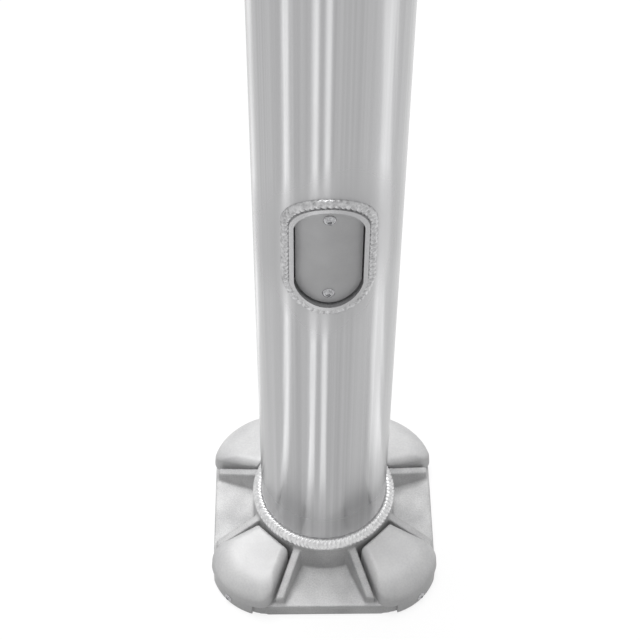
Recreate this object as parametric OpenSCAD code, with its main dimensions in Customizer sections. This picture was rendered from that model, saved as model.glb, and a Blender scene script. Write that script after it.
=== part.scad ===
// Round straight aluminium light pole: a welded shaft on a cast shoe base with four bolt covers,
// a reinforced handhole and a pipe tenon at the top. Millimetres, +Z up, handhole facing -Y.
// The origin is the centre of the base's underside.

/* [Shaft] */
// Outside diameter of the round shaft
shaft_d = 127; // [102:1:152]
// Wall of the shaft
shaft_wall = 4.8; // [3.2:0.1:6.4]
// Height of the whole pole, from the base's underside to the tenon's tip
pole_h = 4877; // [3000:1:6100]

/* [Base casting] */
// Width of the square flange, across its flats
flange_w = 226; // [210:1:270]
// Thickness of the flange at its edge
flange_t = 16; // [12:0.5:22]
// Radius of the flange's rounded corners
flange_corner_r = 60; // [50:1:66]
// Height of the hub that the shaft stands in
hub_h = 55; // [45:1:70]
// Wall of the hub
hub_wall = 8.5; // [6:0.5:12]
// Angle of each rib from the middle of its side
rib_angle = 22.5; // [18:0.5:26]
// Width along the top of a rib
rib_top_w = 8; // [6:0.5:10]
// Width at the foot of a rib
rib_foot_w = 12; // [10:0.5:14]
// Rise of the pocket floors, from the edge of the flange to the hub
floor_rise = 5; // [2:0.5:10]

/* [Anchorage] */
// Diameter of the anchor bolt circle
bolt_circle_d = 203.2; // [185:0.1:225]
// Diameter of each anchor bolt hole
bolt_hole_d = 24; // [20:0.5:28]

/* [Bolt covers] */
// Wall of a bolt cover
cover_wall = 2.6; // [2:0.1:3.5]
// Height of a cover where it meets the hub
cover_h = 53.5; // [48:1:60]
// Height of a cover above its outer corner
cover_brow_h = 37; // [36:1:46]
// Gap between a cover and a rib's side
cover_rib_gap = 1; // [1:0.5:4]
// Diameter of the screw that holds a cover
cover_screw_d = 5.8; // [4.8:0.1:7]

/* [Handhole] */
// Height of the handhole's middle
handhole_z = 478; // [400:1:650]
// Width of the clear opening, measured straight across
opening_w = 57.4; // [50:0.1:64]
// Height of the clear opening
opening_h = 113.2; // [100:0.1:140]
// Wall of the frame round the opening
frame_wall = 3.8; // [3:0.1:6]
// How far the frame stands out of the shaft
frame_proud = 4; // [2:0.5:6]
// How far the cover plate lies below the frame's rim
plate_recess = 5; // [3:0.5:7]
// Thickness of the cover plate
plate_t = 3; // [2:0.1:4]
// Gap all round the cover plate
plate_gap = 1.3; // [0.8:0.1:2]
// Distance from the opening's end to the nearer screw of the cover plate
plate_screw_inset = 13.1; // [11:0.1:16]
// Diameter of the cover plate's screws
plate_screw_d = 5; // [4:0.1:6]

/* [Tenon] */
// Outside diameter of the tenon
tenon_d = 60.3; // [48:0.1:76]
// Wall of the tenon
tenon_wall = 3.9; // [3:0.1:6]
// Length of the tenon above the top plate
tenon_len = 101.6; // [76:0.1:152]
// Thickness of the top plate
top_plate_t = 12.7; // [8:0.1:20]

/* [Welds] */
// Leg of the weld between the shaft and the hub
base_weld_leg = 8; // [6:0.5:9]
// Width of the weld round the handhole frame
handhole_weld_w = 8; // [5:0.5:10]
// Leg of the welds at the pole's top
top_weld_leg = 5; // [3:0.5:7]

/* [Hidden] */
$fn = 96;
SIDES = [for (i = [0 : 3]) 90 * i];
CORNERS = ["front_right", "rear_right", "rear_left", "front_left"];

CAST = [0.72, 0.72, 0.73];
EXTRUDED = [0.80, 0.80, 0.81];
BEAD = [0.88, 0.88, 0.89];
STEEL = [0.62, 0.62, 0.64];

shaft_r = shaft_d / 2;
shaft_inner_r = shaft_r - shaft_wall;
hub_clearance = 0.25;
hub_bore_r = shaft_r + hub_clearance;
hub_r = shaft_r + hub_wall;
shaft_foot_z = 10;
inner_weld_leg = 6;
flange_half = flange_w / 2;
corner_xy = flange_half - flange_corner_r;
corner_u = corner_xy * sqrt(2);
flange_u = corner_u + flange_corner_r;

rib_edge_inset = 3;
rib_hub_z = hub_h - 5;
rib_end_z = flange_t + 9;
rib_start = hub_r - hub_wall / 2;
rib_end = flange_half / cos(rib_angle);

cover_fit = 0.3;
cover_corner_r = flange_corner_r + cover_fit + cover_wall;
cover_u = corner_u + cover_corner_r;
cover_back_u = hub_r + 1.3;
cover_rib_angle = 45 - rib_angle;
cover_rib_offset = rib_foot_w / 2 + cover_rib_gap;
cover_middle_u = 0.42 * cover_back_u + 0.58 * cover_u;
cover_crown = 1.2;
cover_draft = 0.6;
brow_fillet = 22;
brow_wall_h = 4;
brow_drop = cover_brow_h - flange_t - brow_wall_h;
side_fillet = 9;
side_drop = 10;
back_fillet = 4;
back_drop = 5;
heel_r = 14;
back_r = 4;
cover_lifts = 6;
brow_steps = 6;
heel_steps = 6;
back_steps = 4;
skirt_inset = 0.3;
skirt_half_w = 27.5;
skirt_foot_z = 1;
cover_screw_z = flange_t / 2;
cover_screw_len = 12;
cover_screw_hole_r = cover_screw_d / 2 + 0.2;
cover_screw_head_r = cover_screw_d / 2 + 1.7;
cover_screw_head_h = 2.2;
cover_screw_socket = 3.2;

rim_r = shaft_r + frame_proud;
plate_r = rim_r - plate_recess;
frame_fit = 0.2;
frame_depth_y = shaft_r - 20;
end_rise = 24;
side_step = opening_w / 2;
tab_h = 22;
tab_y = plate_r - plate_t - 9;
plate_screw_pitch = opening_h - 2 * plate_screw_inset;
plate_screw_len = 13;
plate_screw_head_r = plate_screw_d / 2 + 2.9;
plate_screw_head_h = 3.2;
plate_screw_socket = 4;
plate_screw_hole_r = plate_screw_d / 2 + 0.8;
tap_r = plate_screw_d / 2 + 0.1;
handhole_weld_h = 2.6;

shaft_top_z = pole_h - tenon_len - top_plate_t;
plate_top_z = shaft_top_z + top_plate_t;
tenon_r = tenon_d / 2;
tenon_bevel = 2;

// Radius of the arc that closes the opening's ends, from its rise over half the opening's width
function end_radius(half_w, rise) = (half_w * half_w + rise * rise) / (2 * rise);

// Flange outline: a square with rounded corners
module flange_outline() {
    square([flange_w, 2 * corner_xy], center = true);
    square([2 * corner_xy, flange_w], center = true);
    for (x = [-1, 1], y = [-1, 1]) translate([x * corner_xy, y * corner_xy]) circle(r = flange_corner_r);
}

// One rib, along +X, with drafted sides and a top that falls from the hub to the flange's edge
module rib() {
    top = rib_top_w / 2;
    foot = rib_foot_w / 2;
    slope = (rib_end_z - rib_hub_z) / (rib_end - hub_r);
    start_z = rib_hub_z + slope * (rib_start - hub_r);
    start = rib_start;
    end = rib_end + 10;
    end_z = rib_hub_z + slope * (end - hub_r);
    under = flange_t / 2;
    polyhedron(
        points = [
            [start, -foot, under], [start, foot, under], [start, top, start_z], [start, -top, start_z],
            [end, -foot, under], [end, foot, under], [end, top, end_z], [end, -top, end_z]
        ],
        faces = [
            [0, 1, 2, 3], [7, 6, 5, 4], [0, 4, 5, 1], [2, 6, 7, 3], [1, 5, 6, 2], [0, 3, 7, 4]
        ]
    );
}

// Floor of the pocket between two ribs: it rises from the flange's edge to the hub
module pocket_floor() {
    reach = flange_half - hub_r;
    half_angle = rib_angle;
    intersection() {
        linear_extrude(flange_t + floor_rise)
            polygon([
                [0, 0],
                [flange_half, -flange_half * tan(half_angle)],
                [flange_half, flange_half * tan(half_angle)]
            ]);
        rotate([90, 0, 0])
            linear_extrude(flange_w, center = true)
                polygon([
                    [rib_start, 0], [flange_half, 0], [flange_half, flange_t],
                    [flange_half - reach, flange_t + floor_rise], [rib_start, flange_t + floor_rise]
                ]);
    }
}

module base_casting() {
    color(CAST)
    difference() {
        union() {
            linear_extrude(flange_t) flange_outline();
            cylinder(r = hub_r, h = hub_h);
            intersection() {
                union()
                    for (side = SIDES, sign = [-1, 1])
                        rotate([0, 0, side + sign * rib_angle]) rib();
                linear_extrude(hub_h) square(flange_w - 2 * rib_edge_inset, center = true);
            }
            for (side = SIDES) rotate([0, 0, side]) pocket_floor();
        }
        translate([0, 0, -1]) cylinder(r = hub_bore_r, h = hub_h + 2);
        for (side = SIDES)
            rotate([0, 0, side + 45]) {
                translate([bolt_circle_d / 2, 0, -1])
                    cylinder(d = bolt_hole_d, h = flange_t + floor_rise + 2);
                translate([flange_u - cover_screw_len, 0, cover_screw_z])
                    rotate([0, 90, 0]) cylinder(r = cover_screw_hole_r, h = cover_screw_len + 1);
            }
    }
}

// Fillet weld that runs round the shaft on top of the hub
module base_weld() {
    color(BEAD)
    rotate_extrude()
        polygon([
            [shaft_r, hub_h], [hub_r, hub_h], [hub_r - 0.6, hub_h + base_weld_leg * 0.28],
            [hub_r - hub_wall * 0.45, hub_h + base_weld_leg * 0.68], [shaft_r, hub_h + base_weld_leg]
        ]);
}

// Fillet weld inside the hub, under the shaft's foot
module base_inner_weld() {
    color(BEAD)
    rotate_extrude()
        polygon([
            [hub_bore_r, shaft_foot_z - inner_weld_leg], [hub_bore_r, shaft_foot_z],
            [hub_bore_r - inner_weld_leg * 0.7, shaft_foot_z]
        ]);
}

// Outline of the handhole in the plane across the shaft, larger than the opening by grow
module handhole_outline(grow = 0) {
    half_w = side_step + grow;
    radius = end_radius(side_step, end_rise) + grow;
    centre = opening_h / 2 + grow - radius;
    intersection() {
        union() {
            square([2 * half_w, 2 * centre], center = true);
            for (sign = [-1, 1]) translate([0, sign * centre]) circle(r = radius);
        }
        square([2 * half_w, opening_h + 2 * grow + 2], center = true);
    }
}

// The same outline as a block through the shaft's front wall, from back_y to the front
module handhole_block(grow, back_y) {
    front_y = rim_r + 10;
    translate([0, -back_y, handhole_z])
        rotate([90, 0, 0]) linear_extrude(front_y - back_y) handhole_outline(grow);
}

module upright_disc(radius) {
    translate([0, 0, handhole_z - opening_h]) cylinder(r = radius, h = 2 * opening_h);
}

module shaft() {
    color(EXTRUDED)
    difference() {
        translate([0, 0, shaft_foot_z]) cylinder(r = shaft_r, h = shaft_top_z - shaft_foot_z);
        translate([0, 0, shaft_foot_z - 1]) cylinder(r = shaft_inner_r, h = pole_h);
        handhole_block(frame_wall + frame_fit, shaft_r / 4);
    }
}

// Frame: a sleeve through the shaft's wall, with a tapped tab at its top and at its bottom
module handhole_frame() {
    color(EXTRUDED)
    difference() {
        intersection() {
            handhole_block(frame_wall, frame_depth_y);
            upright_disc(rim_r);
        }
        difference() {
            handhole_block(0, frame_depth_y - 1);
            intersection() {
                upright_disc(plate_r - plate_t);
                for (sign = [-1, 1])
                    translate([-opening_w, -plate_r, handhole_z + sign * (opening_h - tab_h) / 2 - tab_h / 2])
                        cube([2 * opening_w, plate_r - tab_y, tab_h]);
            }
        }
        for (sign = [-1, 1])
            translate([0, -tab_y + 1, handhole_z + sign * plate_screw_pitch / 2])
                rotate([90, 0, 0]) cylinder(r = tap_r, h = plate_r);
    }
}

// Weld laid on the shaft all round the frame
module handhole_weld() {
    color(BEAD)
    difference() {
        intersection() {
            handhole_block(frame_wall + handhole_weld_w, shaft_r / 4);
            upright_disc(shaft_r + handhole_weld_h);
        }
        upright_disc(shaft_r);
        handhole_block(frame_wall, shaft_r / 5);
    }
}

module handhole_cover() {
    color(CAST)
    difference() {
        intersection() {
            handhole_block(-plate_gap, shaft_r / 4);
            upright_disc(plate_r);
        }
        upright_disc(plate_r - plate_t);
        for (sign = [-1, 1])
            translate([0, 0, handhole_z + sign * plate_screw_pitch / 2])
                rotate([90, 0, 0]) cylinder(r = plate_screw_hole_r, h = rim_r);
    }
}

// Button head screw with a hexagon socket, along +Z with its head's underside at zero
module button_screw(shank_d, shank_len, head_r, head_h, socket_d) {
    dome_r = (head_r * head_r + head_h * head_h) / (2 * head_h);
    difference() {
        union() {
            translate([0, 0, -shank_len]) cylinder(d = shank_d, h = shank_len + head_h / 2);
            intersection() {
                cylinder(r = head_r, h = head_h);
                translate([0, 0, head_h - dome_r]) sphere(r = dome_r);
            }
        }
        translate([0, 0, head_h * 0.4]) cylinder(d = socket_d, h = head_h, $fn = 6);
    }
}

module handhole_screw(sign) {
    color(STEEL)
    translate([0, -plate_r, handhole_z + sign * plate_screw_pitch / 2])
        rotate([90, 0, 0]) button_screw(
            plate_screw_d, plate_screw_len, plate_screw_head_r, plate_screw_head_h, plate_screw_socket
        );
}

// Half of a loop round a cover, from its outer tip to its back, on a shell smaller by t, where lift
// is the fillet's angle and share is how much of the draft it has. The outer wall is an arc about the
// flange's corner, a round heel joins it to the side along the rib, and a small corner to the back.
// Each point is [along, across, how far it lies below the top].
function cover_half(lift, share, t) =
    let (
        bend = 1 - cos(lift),
        drop = 1 - sin(lift),
        facing = 90 + cover_rib_angle,
        brow_r = cover_corner_r - t - share * cover_draft - (brow_fillet - t) * bend,
        side = -cover_rib_offset - t - share * cover_draft - (side_fillet - t) * bend,
        back = cover_back_u + t + share * cover_draft + (back_fillet - t) * bend,
        heel = heel_r - t,
        turn = facing - acos((side - heel - corner_u * cos(facing)) / (brow_r - heel)),
        heel_u = corner_u + (brow_r - heel) * cos(turn),
        heel_v = (brow_r - heel) * sin(turn),
        back_v = (side - back_r - (back + back_r) * cos(facing)) / sin(facing)
    )
    concat(
        [for (k = [0 : brow_steps])
            let (angle = turn * k / brow_steps)
            [corner_u + brow_r * cos(angle), brow_r * sin(angle), (brow_drop - t) * drop]],
        [for (k = [1 : heel_steps])
            let (angle = turn + (facing - turn) * k / heel_steps)
            [heel_u + heel * cos(angle), heel_v + heel * sin(angle),
             (brow_drop + (side_drop - brow_drop) * k / heel_steps - t) * drop]],
        [for (k = [0 : back_steps])
            let (angle = facing + (180 - facing) * k / back_steps)
            [back + back_r + back_r * cos(angle), back_v + back_r * sin(angle),
             (side_drop + (back_drop - side_drop) * k / back_steps - t) * drop]]
    );

// The whole loop, counter-clockwise
function cover_round(lift, share, t) =
    let (half = cover_half(lift, share, t))
    concat(half, [for (k = [len(half) - 1 : -1 : 1]) [half[k][0], -half[k][1], half[k][2]]]);

// Height of a cover's flat top at distance u from the pole's axis
function cover_top(u) = cover_h - (cover_h - cover_brow_h) * (u - cover_back_u) / (cover_u - cover_back_u);

// One closed loop round the cover: at its foot, along its fillet, or on its crowned top
function cover_foot_loop(t) = [for (p = cover_round(0, 0, t)) [p[0], p[1], flange_t]];
function cover_lift_loop(lift, t) =
    [for (p = cover_round(lift, 1, t)) [p[0], p[1], cover_top(p[0]) - t - p[2]]];
function cover_crown_loop(share, t) =
    [for (p = cover_lift_loop(90, t))
        let (u = cover_middle_u + (p[0] - cover_middle_u) * share)
        [u, p[1] * share, cover_top(u) - t + cover_crown * (1 - share * share)]];

function cover_loops(t) = concat(
    [cover_foot_loop(t)],
    [for (k = [0 : cover_lifts]) cover_lift_loop(90 * k / cover_lifts, t)],
    [for (share = [0.6, 0.25]) cover_crown_loop(share, t)]
);

// Triangles between two loops whose first points are a and b, each of n points
function band(a, b, n) =
    [for (i = [0 : n - 1]) let (j = (i + 1) % n) each [[a + i, b + i, a + j], [a + j, b + i, b + j]]];

// Shell of a bolt cover along +X, open underneath
module cover_shell() {
    outer = cover_loops(0);
    inner = cover_loops(cover_wall);
    n = len(outer[0]);
    m = len(outer);
    middle = [cover_middle_u, 0, cover_top(cover_middle_u) + cover_crown];
    tip = 2 * m * n;
    polyhedron(
        points = concat(
            [for (loop = outer) each loop],
            [for (loop = inner) each loop],
            [middle, middle - [0, 0, cover_wall]]
        ),
        faces = concat(
            [for (k = [0 : m - 2]) each band(k * n, (k + 1) * n, n)],
            [for (k = [m : 2 * m - 2]) each band((k + 1) * n, k * n, n)],
            band(m * n, 0, n),
            [for (i = [0 : n - 1]) [(m - 1) * n + i, tip, (m - 1) * n + (i + 1) % n]],
            [for (i = [0 : n - 1]) [(2 * m - 1) * n + (i + 1) % n, tip + 1, (2 * m - 1) * n + i]]
        ),
        convexity = 4
    );
}

// A cover's shell, and the skirt that hangs from it round the flange's corner
module bolt_cover() {
    skirt_top_z = flange_t + 1;
    color(CAST)
    union() {
        cover_shell();
        intersection() {
            translate([corner_u, 0, skirt_foot_z])
                difference() {
                    cylinder(r = cover_corner_r - skirt_inset, h = skirt_top_z - skirt_foot_z);
                    translate([0, 0, -1])
                        cylinder(r = cover_corner_r - cover_wall + skirt_inset, h = skirt_top_z + 1);
                    translate([0, 0, cover_screw_z - skirt_foot_z])
                        rotate([0, 90, 0]) cylinder(r = cover_screw_hole_r, h = cover_corner_r + 2);
                }
            translate([corner_u, -skirt_half_w, 0])
                cube([cover_corner_r + 1, 2 * skirt_half_w, flange_t + 2]);
        }
    }
}

module bolt_cover_screw() {
    color(STEEL)
    translate([cover_u - skirt_inset, 0, cover_screw_z])
        rotate([0, 90, 0]) button_screw(
            cover_screw_d, cover_screw_len, cover_screw_head_r, cover_screw_head_h, cover_screw_socket
        );
}

module top_plate() {
    color(CAST)
    translate([0, 0, shaft_top_z])
        difference() {
            cylinder(r = shaft_r, h = top_plate_t);
            translate([0, 0, -1]) cylinder(r = tenon_r - tenon_wall, h = top_plate_t + 2);
        }
}

// Seam weld that closes the joint between the shaft and the top plate
module top_plate_weld() {
    color(BEAD)
    rotate_extrude()
        polygon([
            [shaft_r, shaft_top_z - top_weld_leg], [shaft_r + 1.6, shaft_top_z - top_weld_leg * 0.4],
            [shaft_r + 1.6, shaft_top_z + top_weld_leg * 0.4], [shaft_r, shaft_top_z + top_weld_leg]
        ]);
}

// Tenon pipe, with its foot bevelled for the weld, so that its full diameter starts above the bead
module tenon() {
    color(EXTRUDED)
    translate([0, 0, plate_top_z])
        rotate_extrude()
            polygon([
                [tenon_r - tenon_wall, 0], [tenon_r - tenon_bevel, 0], [tenon_r, top_weld_leg],
                [tenon_r, tenon_len], [tenon_r - tenon_wall, tenon_len]
            ]);
}

module tenon_weld() {
    color(BEAD)
    rotate_extrude()
        polygon([
            [tenon_r - tenon_bevel, plate_top_z], [tenon_r + top_weld_leg, plate_top_z],
            [tenon_r + top_weld_leg * 0.45, plate_top_z + top_weld_leg * 0.45], [tenon_r, plate_top_z + top_weld_leg]
        ]);
}

base_casting();
base_weld();
base_inner_weld();
shaft();
handhole_frame();
handhole_weld();
handhole_cover();
handhole_screw(1);  // handhole_screw_upper
handhole_screw(-1);  // handhole_screw_lower
top_plate();
top_plate_weld();
tenon();
tenon_weld();
for (i = [0 : 3]) {
    angle = -45 + 90 * i;
    rotate([0, 0, angle]) bolt_cover();
    rotate([0, 0, angle]) bolt_cover_screw();
}
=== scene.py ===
# %% [markdown]
# # A bare aluminium light pole on a cast shoe base
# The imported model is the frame: every position below starts from one of its boxes, in metres.
# This lesson gives each piece the surface that its making leaves behind: a drawn tube keeps fine
# lines along its length, a sand casting keeps a grain and soft corners, and a weld keeps ripples.

# %% Load the frame
import math

import bmesh
import bpy
import numpy as np
from mathutils import Matrix, Vector


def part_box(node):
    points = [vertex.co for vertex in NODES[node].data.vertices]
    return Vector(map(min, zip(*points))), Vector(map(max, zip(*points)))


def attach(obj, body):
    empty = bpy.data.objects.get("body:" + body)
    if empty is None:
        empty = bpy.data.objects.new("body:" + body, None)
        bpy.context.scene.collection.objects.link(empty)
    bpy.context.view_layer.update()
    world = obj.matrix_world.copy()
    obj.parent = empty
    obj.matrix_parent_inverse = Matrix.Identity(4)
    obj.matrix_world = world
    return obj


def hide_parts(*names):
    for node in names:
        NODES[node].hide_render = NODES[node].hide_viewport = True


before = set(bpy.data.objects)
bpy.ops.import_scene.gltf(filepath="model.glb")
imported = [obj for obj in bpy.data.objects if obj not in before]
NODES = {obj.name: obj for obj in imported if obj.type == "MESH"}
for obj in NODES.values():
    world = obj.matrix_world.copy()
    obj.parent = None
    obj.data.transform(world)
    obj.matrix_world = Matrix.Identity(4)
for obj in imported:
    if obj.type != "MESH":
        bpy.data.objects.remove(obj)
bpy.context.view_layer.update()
MM = 0.001
CORNERS = {"front_right": -45, "rear_right": 45, "rear_left": 135, "front_left": 225}

# %% [markdown]
# ## The camera
# The camera comes first, because everything else is judged through it. It is a metre in front of the
# pole and a metre and a half up, and it looks down at the base, tilted a little as if held by hand.
# The shaft comes towards it, so it is about a third wider at the top of the view than at its foot.

# %% Camera
CAMERA_PLACE = Vector((-26.6, -970.5, 1472.5)) * MM
LOOK_DOWN = math.radians(49.740)
LOOK_ASIDE = math.radians(1.245)
TILT = math.radians(-0.588)
LENS_MM = 93.59


def make_camera():
    forward = Vector((
        math.sin(LOOK_ASIDE) * math.cos(LOOK_DOWN),
        math.cos(LOOK_ASIDE) * math.cos(LOOK_DOWN),
        -math.sin(LOOK_DOWN),
    ))
    level = Vector((math.cos(LOOK_ASIDE), -math.sin(LOOK_ASIDE), 0))
    below = forward.cross(level)
    right = level * math.cos(TILT) + below * math.sin(TILT)
    down = below * math.cos(TILT) - level * math.sin(TILT)
    data = bpy.data.cameras.new("view")
    data.sensor_width = 36
    data.lens = LENS_MM
    data.clip_end = 100
    camera = bpy.data.objects.new("view", data)
    turn = Matrix((right, -down, -forward)).transposed()
    camera.matrix_world = Matrix.Translation(CAMERA_PLACE) @ turn.to_4x4()
    bpy.context.collection.objects.link(camera)
    bpy.context.scene.camera = camera
    return camera


camera = make_camera()
print("camera at", [round(v, 3) for v in camera.location])

# %% [markdown]
# ## Small helpers
# One function turns a colour written as hex into the linear values that Blender's shaders work in.
# One function adds a shader or geometry node with its settings and links. The last ones turn rings
# of points into a closed mesh, and hand a finished piece over to the frame.

# %% Helpers


def linear(hex_colour):
    """A colour written as sRGB hex, as linear red, green, blue and alpha."""
    parts = [int(hex_colour[i:i + 2], 16) / 255 for i in (1, 3, 5)]
    return [v / 12.92 if v < 0.04045 else ((v + 0.055) / 1.055) ** 2.4 for v in parts] + [1.0]


def add(tree, kind, inputs=None, **settings):
    """Adds a node. An input may be a value, or a socket to link from."""
    made = tree.nodes.new(kind)
    for name, value in settings.items():
        setattr(made, name, value)
    for name, value in (inputs or {}).items():
        socket = made.inputs[name]
        if isinstance(value, bpy.types.NodeSocket):
            tree.links.new(value, socket)
        else:
            socket.default_value = value
    return made


def new_mesh(name, points, faces, smooth=True):
    data = bpy.data.meshes.new(name)
    data.from_pydata([tuple(p) for p in points], [], faces)
    data.update()
    piece = bpy.data.objects.new(name, data)
    bpy.context.collection.objects.link(piece)
    if smooth:
        data.shade_smooth()
    return piece


def ring_faces(rings, count, first=0):
    """Quads that join each ring of count points to the next one."""
    faces = []
    for k in range(rings - 1):
        a, b = first + k * count, first + (k + 1) * count
        faces += [(a + i, a + (i + 1) % count, b + (i + 1) % count, b + i) for i in range(count)]
    return faces


def baked(piece, name):
    """A plain mesh of the piece with its modifiers applied. The piece itself is removed."""
    view = bpy.context.evaluated_depsgraph_get()
    data = bpy.data.meshes.new_from_object(piece.evaluated_get(view))
    result = bpy.data.objects.new(name, data)
    data.name = name
    bpy.context.collection.objects.link(result)
    bpy.data.objects.remove(piece)
    return result


def hand_over(piece, material, slot, *nodes):
    """The piece stands for these nodes, rides with the pole and has one material."""
    piece.data.materials.clear()
    piece.data.materials.append(material)
    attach(piece, "root")
    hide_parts(*nodes)
    print(piece.name, len(piece.data.polygons), "faces")


def merged_copy(node, name):
    """A copy of a node's mesh whose loose triangles are joined into one surface."""
    piece = bpy.data.objects.new(name, NODES[node].data.copy())
    bpy.context.collection.objects.link(piece)
    shape = bmesh.new()
    shape.from_mesh(piece.data)
    bmesh.ops.remove_doubles(shape, verts=shape.verts, dist=0.005 * MM)
    bmesh.ops.dissolve_limit(
        shape, angle_limit=math.radians(0.5), verts=shape.verts, edges=shape.edges
    )
    shape.to_mesh(piece.data)
    shape.free()
    if piece.data.has_custom_normals:
        with bpy.context.temp_override(object=piece, active_object=piece):
            bpy.ops.mesh.customdata_custom_splitnormals_clear()
    return piece


def eased_copy(node, name, edge_mm):
    """A merged copy of a node with its sharp edges broken by a small round."""
    piece = merged_copy(node, name + "_raw")
    ease = piece.modifiers.new("ease", "BEVEL")
    ease.width = edge_mm * MM
    ease.segments = 3
    ease.limit_method = "ANGLE"
    ease.angle_limit = math.radians(35)
    ease.harden_normals = True
    piece.data.shade_smooth()
    return baked(piece, name)


# %% [markdown]
# ## Bare aluminium, three ways
# The whole pole is one metal without paint. What tells its pieces apart is how each was made, and so
# how rough it is. A drawn tube reflects in long soft stripes. A sand casting scatters the light and
# shows a fine grain. A weld glitters in small points, because its skin froze in ripples.
# Each material works on Object coordinates, in metres, so a pattern's scale is one over its size.

# %% Material helpers
# Noise runs from 0 to 1, but nearly all of it lies between these two.
NOISE_LOW, NOISE_HIGH = 0.3, 0.7


def start_material(name, base, metallic, roughness):
    material = bpy.data.materials.new(name)
    material.use_nodes = True
    tree = material.node_tree
    shader = tree.nodes["Principled BSDF"]
    shader.inputs["Base Color"].default_value = linear(base)
    shader.inputs["Metallic"].default_value = metallic
    shader.inputs["Roughness"].default_value = roughness
    place = add(tree, "ShaderNodeTexCoord").outputs["Object"]
    return material, tree, shader, place


def grain(tree, place, size_mm, detail=3.0, stretch=(1, 1, 1), seed=0.0):
    """Noise whose features are about size_mm across."""
    moved = add(tree, "ShaderNodeMapping", {"Vector": place, "Scale": stretch, "Location": (seed,) * 3})
    return add(tree, "ShaderNodeTexNoise", {
        "Vector": moved.outputs["Vector"], "Scale": 1 / (size_mm * MM), "Detail": detail,
    }).outputs["Fac"]


def ranged(tree, value, low, high, to_low, to_high):
    return add(tree, "ShaderNodeMapRange", {
        "Value": value, "From Min": low, "From Max": high, "To Min": to_low, "To Max": to_high,
    }).outputs["Result"]


def tinted(tree, factor, dark, light):
    return add(tree, "ShaderNodeMix", {
        "Factor": factor, "A": linear(dark), "B": linear(light),
    }, data_type="RGBA").outputs["Result"]


def bumped(tree, shader, height, depth_mm, strength=1.0):
    bump = add(tree, "ShaderNodeBump", {
        "Height": height, "Distance": depth_mm * MM, "Strength": strength,
    })
    tree.links.new(bump.outputs["Normal"], shader.inputs["Normal"])


# %% [markdown]
# ### Sand-cast aluminium
# Molten metal took the surface of packed sand, so it has a fine grain and a slow change of tone where
# the sand was tighter. The grain is drawn one or two millimetres across, coarser than sand, or it
# would not show. The skin is oxidised and scatters most of its light, so each casting is less than
# half metallic. The base is the roughest, the bolt covers are smoother and lighter, and the handhole
# cover is darker.

# %% Cast materials
SLOW_TONE_MM = 28


def cast_aluminium(name, dark, light, grain_mm, grain_depth_mm, roughness, metal):
    material, tree, shader, place = start_material(name, light, metal, roughness)
    fine = grain(tree, place, grain_mm, 4.0)
    slow = grain(tree, place, SLOW_TONE_MM, 3.0, seed=3.1)
    blend = add(tree, "ShaderNodeMath", {0: fine, 1: slow}, operation="ADD").outputs[0]
    colour = tinted(tree, ranged(tree, blend, 0.7, 1.3, 0, 1), dark, light)
    tree.links.new(colour, shader.inputs["Base Color"])
    rough = ranged(tree, fine, NOISE_LOW, NOISE_HIGH, roughness - 0.07, roughness + 0.09)
    tree.links.new(rough, shader.inputs["Roughness"])
    bumped(tree, shader, fine, grain_depth_mm)
    return material


SAND_CAST = cast_aluminium("sand_cast_aluminium", "#AEAEAF", "#D4D4D4", 1.3, 0.26, 0.56, 0.3)
SHELL_CAST = cast_aluminium("smooth_cast_aluminium", "#CDCDCE", "#DEDEDE", 2.2, 0.06, 0.55, 0.2)
PLATE_CAST = cast_aluminium("matte_cast_aluminium", "#B6B6B7", "#C4C4C5", 0.9, 0.1, 0.55, 0.4)

# %% [markdown]
# ### Drawn aluminium tube
# The tube was pulled through a die, so its marks run along its length: streaks some millimetres wide
# and very long. Around the handhole and just above the hub, the heat of welding has dulled it. The
# halo is a mask on Object coordinates, measured from the middle of the handhole.

# %% Tube material
HAND_LOW, HAND_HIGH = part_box("handhole_frame")
HAND_Z = (HAND_LOW[2] + HAND_HIGH[2]) / 2
HALO_HALF = (50 * MM, 88 * MM)
HUB_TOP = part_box("base_casting")[1][2]
DULLED_FOOT = (HUB_TOP + 15 * MM, HUB_TOP + 90 * MM)
DULLED_ROUGHNESS = 0.42
ALONG_THE_TUBE = (1, 1, 0.004)


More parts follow.
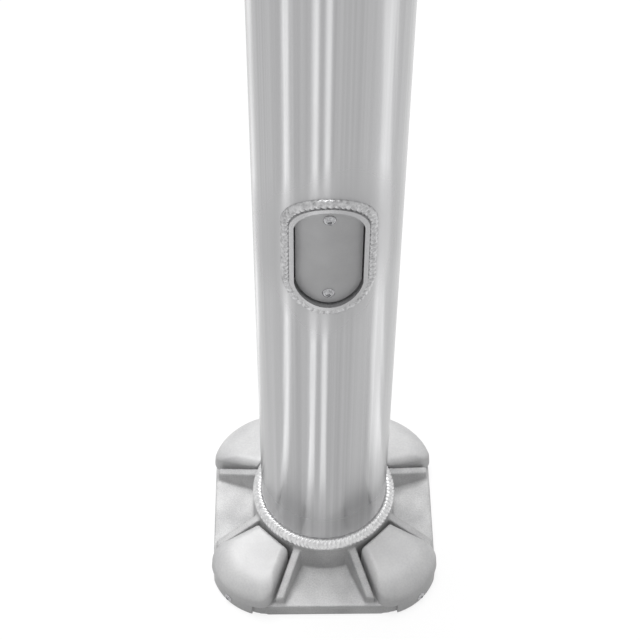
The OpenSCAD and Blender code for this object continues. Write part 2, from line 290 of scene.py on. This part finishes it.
def drawn_aluminium(name, halo):
    material, tree, shader, place = start_material(name, "#ACACAD", 1.0, 0.22)
    shader.inputs["Anisotropic"].default_value = 0.8
    shader.inputs["Anisotropic Rotation"].default_value = 0.25
    round_way = add(tree, "ShaderNodeTangent", direction_type="RADIAL", axis="Z")
    tree.links.new(round_way.outputs["Tangent"], shader.inputs["Tangent"])
    streaks = grain(tree, place, 9.0, 2.0, ALONG_THE_TUBE)
    hairs = grain(tree, place, 3.2, 2.0, ALONG_THE_TUBE, 1.7)
    clouds = grain(tree, place, 60, 3.0, (1, 1, 0.4), 5.2)
    lines = add(tree, "ShaderNodeMath", {0: streaks, 1: hairs}, operation="ADD").outputs[0]
    colour = tinted(tree, ranged(tree, lines, 0.75, 1.25, 0, 1), "#A6A6A7", "#B2B2B3")
    rough = ranged(tree, clouds, NOISE_LOW, NOISE_HIGH, 0.17, 0.23)
    if halo:
        parts = add(tree, "ShaderNodeSeparateXYZ", {"Vector": place}).outputs
        high = add(tree, "ShaderNodeMath", {0: parts["Z"], 1: HAND_Z}, operation="SUBTRACT").outputs[0]
        wide = add(tree, "ShaderNodeMath", {0: parts["X"], 1: HALO_HALF[0]}, operation="DIVIDE").outputs[0]
        tall = add(tree, "ShaderNodeMath", {0: high, 1: HALO_HALF[1]}, operation="DIVIDE").outputs[0]
        front = ranged(tree, parts["Y"], -0.01, 0.0, 0, 3)
        spot = add(tree, "ShaderNodeCombineXYZ", {"X": wide, "Y": tall, "Z": front}).outputs[0]
        far = add(tree, "ShaderNodeVectorMath", {0: spot}, operation="LENGTH").outputs["Value"]
        wavy = add(tree, "ShaderNodeMath", {0: clouds, 1: far}, operation="ADD").outputs[0]
        mask = ranged(tree, wavy, 1.2, 1.75, 1, 0)
        colour = add(tree, "ShaderNodeMix", {
            "Factor": mask, "A": colour, "B": linear("#ADADAE"),
        }, data_type="RGBA").outputs["Result"]
        rough = add(tree, "ShaderNodeMix", {
            "Factor": mask, "A": rough, "B": DULLED_ROUGHNESS,
        }).outputs["Result"]
        foot = ranged(tree, parts["Z"], *DULLED_FOOT, DULLED_ROUGHNESS, 0)
        rough = add(tree, "ShaderNodeMath", {0: rough, 1: foot}, operation="MAXIMUM").outputs[0]
    tree.links.new(colour, shader.inputs["Base Color"])
    tree.links.new(rough, shader.inputs["Roughness"])
    bumped(tree, shader, lines, 0.006, 0.5)
    return material


DRAWN = drawn_aluminium("drawn_aluminium", True)
PIPE = drawn_aluminium("mill_finish_pipe", False)

# %% [markdown]
# ### Weld metal and stainless steel
# Weld metal is nearly white, and the bead round the handhole is smoked to a duller grey. A fine
# crinkle breaks up the reflections, and the ripples themselves are geometry. The screws are
# stainless steel, darker and sharper.

# %% Bright materials


def bright_metal(name, dark, light, roughness, crinkle_mm, depth_mm):
    material, tree, shader, place = start_material(name, light, 0.85, roughness)
    crinkle = grain(tree, place, crinkle_mm, 4.0, seed=2.3)
    colour = tinted(tree, ranged(tree, crinkle, NOISE_LOW, NOISE_HIGH, 0, 1), dark, light)
    tree.links.new(colour, shader.inputs["Base Color"])
    rough = ranged(tree, crinkle, NOISE_LOW, NOISE_HIGH, roughness - 0.08, roughness + 0.1)
    tree.links.new(rough, shader.inputs["Roughness"])
    bumped(tree, shader, crinkle, depth_mm)
    return material


WELD = bright_metal("weld_metal", "#C2C2C3", "#E8E8E8", 0.42, 2.6, 0.03)
DULL_WELD = bright_metal("smoky_weld_metal", "#9A9A9B", "#CFCFD0", 0.34, 3.2, 0.03)
STAINLESS = bright_metal("stainless_steel", "#8C8C8E", "#C6C6C8", 0.18, 1.6, 0.05)
FRAME_METAL = bright_metal("machined_aluminium", "#AAAAAB", "#BEBEBF", 0.34, 0.8, 0.03)

# %% [markdown]
# ## The tube and the tenon
# Their shape is already exact in the frame. Only the many thin triangles need joining, so that the
# light runs round them smoothly, and the sharp cut edges need a slight break.

# %% Tube, plate and tenon


def rounded(piece):
    """Normals straight out from the pole's axis on every upright wall, so that no seam shows."""
    data = piece.data
    normals = [corner.vector.copy() for corner in data.corner_normals]
    for face in data.polygons:
        away = Vector((face.center.x, face.center.y, 0)).normalized()
        facing = face.normal.dot(away)
        if abs(facing) > 0.98:
            for k in face.loop_indices:
                spot = data.vertices[data.loops[k].vertex_index].co
                normals[k] = Vector((spot.x, spot.y, 0)).normalized() * math.copysign(1, facing)
    data.normals_split_custom_set(normals)
    return piece


hand_over(rounded(eased_copy("shaft", "shaft_tube", 0.5)), DRAWN, "extruded_shaft", "shaft")
hand_over(eased_copy("top_plate", "top_plate_turned", 0.8), PIPE, "top_plate", "top_plate")
hand_over(eased_copy("tenon", "tenon_pipe", 0.5), PIPE, "tenon_pipe", "tenon")

# %% [markdown]
# ## The cast base
# A casting has no sharp corner anywhere: metal doesn't fill one, and sand doesn't hold one. Beveling
# every edge of the ribs, the hub and the pockets would fail where they cross. Instead the whole
# shape is rebuilt from small cubes and then relaxed, which rounds the outer edges and fills the
# inner corners at the same time, as the foundry's pattern maker does with wax.

# %% Base casting
VOXEL_MM = 1.2
RELAX_STEPS = 7


def soft_casting():
    piece = merged_copy("base_casting", "base_raw")
    cubes = piece.modifiers.new("cubes", "REMESH")
    cubes.mode = "VOXEL"
    cubes.voxel_size = VOXEL_MM * MM
    relax = piece.modifiers.new("relax", "SMOOTH")
    relax.factor = 0.5
    relax.iterations = RELAX_STEPS
    result = baked(piece, "base_soft")
    result.data.shade_smooth()
    return result


hand_over(soft_casting(), SAND_CAST, "cast_base", "base_casting")

# %% [markdown]
# ## The bolt covers
# Each cover is a thin cast shell that hides a bolt and its nut. Its outer wall is an arc about the
# flange's corner, its sides follow the two ribs, and its top falls away from the hub. The shell is
# made of rings: each ring is the outline, drawn in by the fillet at that height.

# %% Cover measures, in millimetres
BASE_HIGH = np.array(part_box("base_casting")[1]) / MM
FLANGE_T = 16.0
FLANGE_CORNER = 60.0
WALL = 2.6
FIT = 0.3
CORNER_U = (BASE_HIGH[0] - FLANGE_CORNER) * math.sqrt(2)
OUTER_R = FLANGE_CORNER + FIT + WALL
OUTER_U = CORNER_U + OUTER_R
TUBE_RADIUS, HUB_WALL, HUB_GAP = 63.5, 8.5, 1.3
BACK_U = TUBE_RADIUS + HUB_WALL + HUB_GAP
RIB_TURN = math.radians(22.5)
RIB_OFFSET = 7.0
COVER_H, BROW_H = 53.5, 37.0
MIDDLE_U = 0.42 * BACK_U + 0.58 * OUTER_U
DRAFT = 0.6
# Each fillet's reach inwards and its drop, on the outer wall, the sides and the back.
BROW, SIDE, BACK = (22.0, 17.0), (9.0, 10.0), (4.0, 5.0)
HEEL_R, BACK_R = 14.0, 4.0
FILLET_STEPS, FINE = 14, 4
TOP_SHARES = (0.93, 0.84, 0.72, 0.58, 0.42, 0.25, 0.1)
SKIRT_HALF, SKIRT_FOOT = 27.5, 1.0
SKIRT_T, SKIRT_SINK, SKIRT_LAP = 2.0, 0.3, 1


def cover_ring(lift, share, t):
    """One ring of the shell at a fillet angle, for a shell smaller by t: along, across, fall."""
    bend, drop = 1 - math.cos(lift), 1 - math.sin(lift)
    facing = math.pi / 2 + RIB_TURN
    brow = OUTER_R - t - share * DRAFT - (BROW[0] - t) * bend
    side = -RIB_OFFSET - t - share * DRAFT - (SIDE[0] - t) * bend
    back = BACK_U + t + share * DRAFT + (BACK[0] - t) * bend
    heel = HEEL_R - t
    turn = facing - math.acos((side - heel - CORNER_U * math.cos(facing)) / (brow - heel))
    heel_u = CORNER_U + (brow - heel) * math.cos(turn)
    heel_v = (brow - heel) * math.sin(turn)
    back_v = (side - BACK_R - (back + BACK_R) * math.cos(facing)) / math.sin(facing)
    half = []

    def arc(u, v, radius, start, end, falls, steps, skip):
        for k in range(skip, steps + 1):
            way = k / steps
            angle = start + (end - start) * way
            fall = (falls[0] + (falls[1] - falls[0]) * way - t) * drop
            half.append((u + radius * math.cos(angle), v + radius * math.sin(angle), fall))

    def straight(steps):
        a = half[-1]
        b = (back + BACK_R + BACK_R * math.cos(facing), back_v + BACK_R * math.sin(facing), a[2])
        for k in range(1, steps):
            half.append(tuple(a[i] + (b[i] - a[i]) * k / steps for i in range(3)))

    arc(CORNER_U, 0, brow, 0, turn, (BROW[1], BROW[1]), 7 * FINE, 0)
    arc(heel_u, heel_v, heel, turn, facing, (BROW[1], SIDE[1]), 4 * FINE, 1)
    straight(3 * FINE)
    arc(back + BACK_R, back_v, BACK_R, facing, math.pi, (SIDE[1], BACK[1]), 2 * FINE, 0)
    v_end = half[-1][1]
    for k in range(1, 2 * FINE):
        half.append((half[-1][0], v_end * (1 - k / (2 * FINE)), half[-1][2]))
    half.append((half[-1][0], 0.0, half[-1][2]))
    return half + [(u, -v, fall) for u, v, fall in half[-2:0:-1]]


def cover_top(u):
    return COVER_H - (COVER_H - BROW_H) * (u - BACK_U) / (OUTER_U - BACK_U)


def cover_skin(t):
    rings = [[(u, v, FLANGE_T) for u, v, _ in cover_ring(0, 0, t)]]
    for k in range(FILLET_STEPS + 1):
        ring = cover_ring(math.pi / 2 * k / FILLET_STEPS, 1, t)
        rings.append([(u, v, cover_top(u) - t - fall) for u, v, fall in ring])
    for share in TOP_SHARES:
        ring = []
        for u, v, _ in cover_ring(math.pi / 2, 1, t):
            along = MIDDLE_U + (u - MIDDLE_U) * share
            ring.append((along, v * share, cover_top(along) - t))
        rings.append(ring)
    return rings


def cover_shell():
    """Points and faces of the shell, along +X."""
    outer, inner = cover_skin(0), cover_skin(WALL)
    count, levels = len(outer[0]), len(outer)
    points = [p for ring in outer + inner for p in ring]
    middle = (MIDDLE_U, 0, cover_top(MIDDLE_U))
    points += [middle, (middle[0], 0, middle[2] - WALL)]
    tip, last, second = 2 * levels * count, (levels - 1) * count, levels * count
    faces = ring_faces(levels, count)
    faces += [tuple(reversed(f)) for f in ring_faces(levels, count, second)]
    for i in range(count):
        j = (i + 1) % count
        faces.append((j, i, second + i, second + j))
        faces.append((last + i, last + j, tip))
        faces.append((second + last + j, second + last + i, tip + 1))
    return points, faces


def skirt_wall():
    """The curved strip below the shell. It has no hole, because the screw's head covers the place."""
    radius = OUTER_R - SKIRT_SINK
    reach = math.asin(SKIRT_HALF / radius)
    steps, edge = 48, 0.5
    inner, top = radius - SKIRT_T, FLANGE_T + SKIRT_LAP
    section = [
        (inner, SKIRT_FOOT + edge), (inner + edge, SKIRT_FOOT), (radius - edge, SKIRT_FOOT),
        (radius, SKIRT_FOOT + edge), (radius, top), (inner, top),
    ]
    points = []
    for k in range(steps + 1):
        angle = -reach + 2 * reach * k / steps
        points += [(CORNER_U + r * math.cos(angle), r * math.sin(angle), z) for r, z in section]
    n = len(section)
    faces = [tuple(reversed(f)) for f in ring_faces(steps + 1, n)]
    faces += [tuple(range(n)), tuple(range(steps * n + n - 1, steps * n - 1, -1))]
    return points, faces


def bolt_cover(corner, degrees):
    points, faces = cover_shell()
    more, bands = skirt_wall()
    faces = faces + [tuple(len(points) + i for i in f) for f in bands]
    turn = Matrix.Rotation(math.radians(degrees), 3, "Z")
    placed = [turn @ Vector(p) * MM for p in points + more]
    piece = new_mesh("cover_shell_" + corner, placed, faces)
    piece.data.set_sharp_from_angle(angle=math.radians(40))
    hand_over(piece, SHELL_CAST, "bolt_cover", "bolt_cover_" + corner)


for corner, degrees in CORNERS.items():
    bolt_cover(corner, degrees)

# %% [markdown]
# ## The screws
# Button heads with a hexagon socket: the frame has their exact form, and a rounded edge finishes it.

# %% Screws
for corner in CORNERS:
    node = "bolt_cover_screw_" + corner
    hand_over(eased_copy(node, "button_screw_" + corner, 0.25), STAINLESS, "stainless_screw", node)
for end in ("upper", "lower"):
    node = "handhole_screw_" + end
    hand_over(eased_copy(node, "button_screw_" + end, 0.3), STAINLESS, "stainless_screw", node)

# %% [markdown]
# ## The handhole
# A frame is welded into the cut in the tube, and a curved plate closes it. Both are cut from thick
# metal, so their edges are only just broken, and those thin bright lines draw the handhole's shape.

# %% Handhole frame and cover
hand_over(eased_copy("handhole_frame", "handhole_rim", 0.7), FRAME_METAL, "handhole_frame", "handhole_frame")
hand_over(eased_copy("handhole_cover", "handhole_plate", 0.8), PLATE_CAST, "cast_cover", "handhole_cover")

# %% [markdown]
# ## Weld beads
# A welder lays a bead in small steps, and each step leaves a crescent, like a row of coins pushed
# over. The bead could be one long modelled strip, but then every bead would need its own. Here a
# plain bead carries three values at each point: how far along it is, how far across, and which way
# it bulges. One node tree turns those into ripples, for any bead, with a pitch and a depth.

# %% Ripple node tree


def ripple_tree():
    tree = bpy.data.node_groups.new("weld_ripples", "GeometryNodeTree")
    face = tree.interface
    face.new_socket("Geometry", in_out="INPUT", socket_type="NodeSocketGeometry")
    for name, value in (("Pitch", 3.0 * MM), ("Depth", 0.5 * MM), ("Bow", 0.8), ("Unevenness", 0.35)):
        face.new_socket(name, in_out="INPUT", socket_type="NodeSocketFloat").default_value = value
    face.new_socket("Seed", in_out="INPUT", socket_type="NodeSocketInt").default_value = 1
    face.new_socket("Metal", in_out="INPUT", socket_type="NodeSocketMaterial")
    face.new_socket("Geometry", in_out="OUTPUT", socket_type="NodeSocketGeometry")
    given = add(tree, "NodeGroupInput").outputs

    def read(name, kind="FLOAT"):
        named = add(tree, "GeometryNodeInputNamedAttribute", {"Name": name}, data_type=kind)
        return named.outputs["Attribute"]

    def maths(operation, a, b):
        return add(tree, "ShaderNodeMath", {0: a, 1: b}, operation=operation).outputs[0]

    along, across, bulge = read("along"), read("across"), read("bulge", "FLOAT_VECTOR")
    wander = add(tree, "ShaderNodeTexNoise", {
        "W": given["Seed"], "Scale": 45.0, "Detail": 0.0,
    }, noise_dimensions="4D").outputs["Fac"]
    steps = maths("DIVIDE", along, given["Pitch"])
    curved = maths("MULTIPLY", maths("MULTIPLY", across, across), given["Bow"])
    uneven = maths("MULTIPLY", wander, given["Unevenness"])
    phase = maths("ADD", maths("SUBTRACT", steps, curved), maths("MULTIPLY", uneven, 3.0))
    saw = maths("SUBTRACT", maths("MULTIPLY", maths("FRACT", phase, 0.0), 2.0), 1.0)
    coin = maths("SUBTRACT", 1.0, maths("MULTIPLY", saw, saw))
    swell = maths("ADD", coin, maths("MULTIPLY", uneven, 1.5))
    rim = maths("SUBTRACT", 1.0, maths("POWER", maths("ABSOLUTE", across, 0.0), 6.0))
    height = maths("MULTIPLY", maths("MULTIPLY", swell, rim), given["Depth"])
    push = add(tree, "ShaderNodeVectorMath", {0: bulge, "Scale": height}, operation="SCALE").outputs["Vector"]
    moved = add(tree, "GeometryNodeSetPosition", {"Geometry": given["Geometry"], "Offset": push})
    real = add(tree, "GeometryNodeRealizeInstances", {"Geometry": moved.outputs["Geometry"]})
    done = add(tree, "GeometryNodeSetMaterial", {
        "Geometry": real.outputs["Geometry"], "Material": given["Metal"],
    })
    add(tree, "NodeGroupOutput", {"Geometry": done.outputs["Geometry"]})
    return tree


RIPPLES = ripple_tree()

# %% Bead maker
BEAD_POINTS = 15
BEAD_SPACING = 0.4 * MM
ROUND_BEAD_DEPTH = 1.15 * MM


def weld_bead(name, nodes, path, outward, sideways, half_width, height, pitch, depth, seed, metal=WELD):
    """A closed bead along a closed path, with its ripples, that stands for the nodes."""
    path, outward, sideways = (np.array(a, float) for a in (path, outward, sideways))
    gaps = np.linalg.norm(np.roll(path, -1, 0) - path, axis=1)
    lengths = np.concatenate(([0], np.cumsum(gaps)[:-1]))
    pitch = gaps.sum() / round(gaps.sum() / pitch)
    section = [(t, (1 - t * t) ** 0.8) for t in np.linspace(-1, 1, BEAD_POINTS)]
    under = [(1.0, -0.2), (0.0, -0.3), (-1.0, -0.2)]
    points, along, across, bulge = [], [], [], []
    for p, out, side, length in zip(path, outward, sideways, lengths):
        for t, rise in section + under:
            points.append(p + side * half_width * t + out * height * rise)
            along.append(length)
            across.append(t)
            bulge.append(out if rise > 0 else out * 0)
    count = BEAD_POINTS + len(under)
    rings = len(path)
    faces = ring_faces(rings, count)
    last = (rings - 1) * count
    faces += [(last + i, last + (i + 1) % count, (i + 1) % count, i) for i in range(count)]
    piece = new_mesh(name + "_plain", points, faces)
    for key, kind, values in (("along", "FLOAT", along), ("across", "FLOAT", across)):
        piece.data.attributes.new(key, kind, "POINT").data.foreach_set("value", np.array(values, float))
    vectors = piece.data.attributes.new("bulge", "FLOAT_VECTOR", "POINT")
    vectors.data.foreach_set("vector", np.array(bulge, float).ravel())
    modifier = piece.modifiers.new("ripples", "NODES")
    modifier.node_group = RIPPLES
    wanted = {"Pitch": pitch, "Depth": depth, "Seed": seed, "Metal": metal}
    for item in RIPPLES.interface.items_tree:
        if item.item_type == "SOCKET" and item.in_out == "INPUT" and item.name in wanted:
            modifier[item.identifier] = wanted[item.name]
    result = baked(piece, name)
    shape = bmesh.new()
    shape.from_mesh(result.data)
    bmesh.ops.recalc_face_normals(shape, faces=shape.faces)
    shape.to_mesh(result.data)
    shape.free()
    result.data.shade_smooth()
    hand_over(result, metal, "weld_bead", *nodes)


def round_weld(name, node, radius, z, lean, half_width, height, seed, pitch=4.2 * MM):
    """A bead round the pole whose back lies on a slope that leans by an angle from level."""
    steps = int(2 * math.pi * radius / BEAD_SPACING)
    path, outward, sideways = [], [], []
    for k in range(steps):
        a = 2 * math.pi * k / steps
        away = np.array((math.cos(a), math.sin(a), 0))
        up = np.array((0, 0, 1.0))
        path.append(away * radius + up * z)
        outward.append(away * math.sin(lean) + up * math.cos(lean))
        sideways.append(up * math.sin(lean) - away * math.cos(lean))
    weld_bead(
        name, [node], path, outward, sideways, half_width, height, pitch, ROUND_BEAD_DEPTH, seed
    )


TUBE_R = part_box("shaft")[1][0]
HUB_R = TUBE_R + HUB_WALL * MM
LEAN = math.radians(45)
round_weld(
    "base_weld_bead", "base_weld", (TUBE_R + HUB_R) / 2, HUB_TOP + 4.1 * MM, LEAN, 6.1 * MM, 2.2 * MM, 4
)
PLATE_LOW, PLATE_HIGH = (c[2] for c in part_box("top_plate"))
round_weld(
    "top_seam_bead", "top_plate_weld", TUBE_R - 0.2 * MM, PLATE_LOW, math.pi / 2, 4.6 * MM, 1.5 * MM, 7
)
TENON_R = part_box("tenon")[1][0]
round_weld(
    "tenon_weld_bead", "tenon_weld", TENON_R + 2.4 * MM, PLATE_HIGH + 2.4 * MM, LEAN, 3.4 * MM, 1.2 * MM, 9
)

# %% [markdown]
# The bead round the handhole follows the frame's outline on the round tube. The outline is drawn
# flat, moved out by half the bead's width, and then laid on the tube.

# %% Handhole bead
WELD_W = 8.0 * MM
FRAME_W = 3.8 * MM
OPENING_HALF_W, OPENING_HALF_H = 28.7 * MM, 56.6 * MM
ARCH_RISE = 24.0 * MM
QUARTER_STEPS = 199


def handhole_path(grow, spacing):
    """The opening's outline, larger by grow: evenly spaced points, each with its outward way."""
    radius = (OPENING_HALF_W ** 2 + ARCH_RISE ** 2) / (2 * ARCH_RISE) + grow
    centre = OPENING_HALF_H + grow - radius
    half_w = OPENING_HALF_W + grow
    reach = math.asin(min(half_w / radius, 1.0))
    corner = centre + radius * math.cos(reach)
    quarter = []
    for k in range(QUARTER_STEPS + 1):
        a = reach * k / QUARTER_STEPS
        quarter.append((radius * math.sin(a), centre + radius * math.cos(a), math.sin(a), math.cos(a)))
    for k in range(1, QUARTER_STEPS + 1):
        quarter.append((half_w, corner * (1 - k / QUARTER_STEPS), 1.0, 0.0))
    right = quarter + [(x, -y, nx, -ny) for x, y, nx, ny in quarter[-2::-1]]
    loop = np.array(right + [(-x, y, -nx, ny) for x, y, nx, ny in right[-2:0:-1]])
    ends = np.vstack((loop, loop[:1]))
    length = np.concatenate(([0], np.cumsum(np.linalg.norm(np.diff(ends[:, :2], axis=0), axis=1))))
    marks = np.arange(0, length[-1], length[-1] / round(length[-1] / spacing))
    return np.stack([np.interp(marks, length, ends[:, i]) for i in range(4)], 1)


def handhole_weld():
    path, outward, sideways = [], [], []
    for x, z, nx, nz in handhole_path(FRAME_W + WELD_W / 2 - 1.2 * MM, BEAD_SPACING):
        spin = math.asin(x / TUBE_R)
        away = np.array((math.sin(spin), -math.cos(spin), 0))
        round_way = np.array((math.cos(spin), math.sin(spin), 0))
        path.append(away * (TUBE_R - 0.1 * MM) + np.array((0, 0, HAND_Z + z)))
        side = round_way * nx + np.array((0, 0, nz))
        outward.append(away)
        sideways.append(side / np.linalg.norm(side))
    weld_bead(
        "handhole_weld_bead", ["handhole_weld"], path, outward, sideways,
        WELD_W / 2 + 0.9 * MM, 2.6 * MM, 5.0 * MM, 1.0 * MM, 12, DULL_WELD,
    )


handhole_weld()
NODES["base_inner_weld"].data.materials.clear()
NODES["base_inner_weld"].data.materials.append(WELD)

# %% [markdown]
# ## Floor and light
# The pole stands on a plain white floor in a white room. A ray from the camera, or off metal, sees
# them at full white, and all other light from them is weaker, so that pale metal keeps its tone.
# The tube mirrors the floor, so rows of flat lamps that run away from it draw the bright lines down
# the tube. One soft sun, high up and a little behind, brightens what faces up.

# %% Stage
FLOOR_HALF = 12.0
FLOOR_GLOW = 0.85
FILL_LIGHT, SEEN_LIGHT = 0.2, 1.0
STRIPE_START, STRIPE_GROWTH, STRIPE_LAMPS = 0.17, 1.7, 4
LAMP_LIFT = 0.004


def seen_ray(tree):
    """1 for a ray that shows the background: from the camera, off metal or through glass."""
    path = add(tree, "ShaderNodeLightPath").outputs
    seen = add(tree, "ShaderNodeMath", {
        0: path["Is Camera Ray"], 1: path["Is Glossy Ray"],
    }, operation="MAXIMUM")
    return add(tree, "ShaderNodeMath", {
        0: seen.outputs[0], 1: path["Is Transmission Ray"],
    }, operation="MAXIMUM").outputs[0]


def make_floor():
    ways = ((-1, -1), (1, -1), (1, 1), (-1, 1))
    corners = [(x * FLOOR_HALF, y * FLOOR_HALF, 0) for x, y in ways]
    piece = new_mesh("floor", corners, [(0, 1, 2, 3)], smooth=False)
    material = bpy.data.materials.new("white_floor")
    material.use_nodes = True
    tree = material.node_tree
    tree.nodes.clear()
    matt = add(tree, "ShaderNodeBsdfDiffuse", {"Color": linear("#7A7A7A")})
    glow = add(tree, "ShaderNodeEmission", {"Strength": FLOOR_GLOW})
    lit = add(tree, "ShaderNodeAddShader", {0: matt.outputs[0], 1: glow.outputs[0]})
    grey = add(tree, "ShaderNodeBsdfDiffuse", {"Color": linear("#8C8C8C")})
    mixed = add(tree, "ShaderNodeMixShader", {0: seen_ray(tree), 1: grey.outputs[0], 2: lit.outputs[0]})
    add(tree, "ShaderNodeOutputMaterial", {"Surface": mixed.outputs[0]})
    piece.data.materials.append(material)


def make_world():
    world = bpy.data.worlds.new("white_room")
    bpy.context.scene.world = world
    world.use_nodes = True
    tree = world.node_tree
    tree.nodes.clear()
    power = add(tree, "ShaderNodeMapRange", {
        "Value": seen_ray(tree), "To Min": FILL_LIGHT, "To Max": SEEN_LIGHT,
    }).outputs["Result"]
    shine = add(tree, "ShaderNodeBackground", {"Color": linear("#FFFFFF"), "Strength": power})
    add(tree, "ShaderNodeOutputWorld", {"Surface": shine.outputs["Background"]})


def make_sun(name, toward, strength, spread):
    data = bpy.data.lights.new(name, "SUN")
    data.energy = strength
    data.angle = math.radians(spread)
    lamp = bpy.data.objects.new(name, data)
    lamp.rotation_euler = Vector(toward).to_track_quat("Z", "Y").to_euler()
    bpy.context.collection.objects.link(lamp)


def make_floor_stripe(name, degrees, spread, shine):
    """A row of flat lamps on the floor that runs away from the pole, at an angle from -Y towards +X.

    Each lamp is wider than the one before, so that the line on the tube keeps its width.
    """
    way = math.radians(degrees)
    near = STRIPE_START
    for k in range(STRIPE_LAMPS):
        far = near * STRIPE_GROWTH
        middle = (near + far) / 2
        data = bpy.data.lights.new(name, "AREA")
        data.shape = "RECTANGLE"
        data.size = 2 * middle * math.tan(math.radians(spread) / 2)
        data.size_y = far - near
        data.energy = shine * math.pi * data.size * data.size_y
        lamp = bpy.data.objects.new(name, data)
        lamp.location = (middle * math.sin(way), -middle * math.cos(way), LAMP_LIFT)
        lamp.rotation_euler = (math.pi, 0, way)
        lamp.visible_camera = False
        bpy.context.collection.objects.link(lamp)
        near = far


make_floor()
make_world()
for name, degrees, spread, shine in (
    ("left_line", -62, 8, 1.2), ("front_left_line", -20, 7, 1.1), ("front_line", -3, 7, 0.8),
    ("right_line", 84, 22, 0.7), ("rear_left_line", -139, 10, 0.6),
):
    make_floor_stripe(name, degrees, spread, shine)
make_sun("top_soft", (-0.10, 0.16, 0.98), 2.5, 34)
bpy.context.scene.view_settings.view_transform = "Standard"
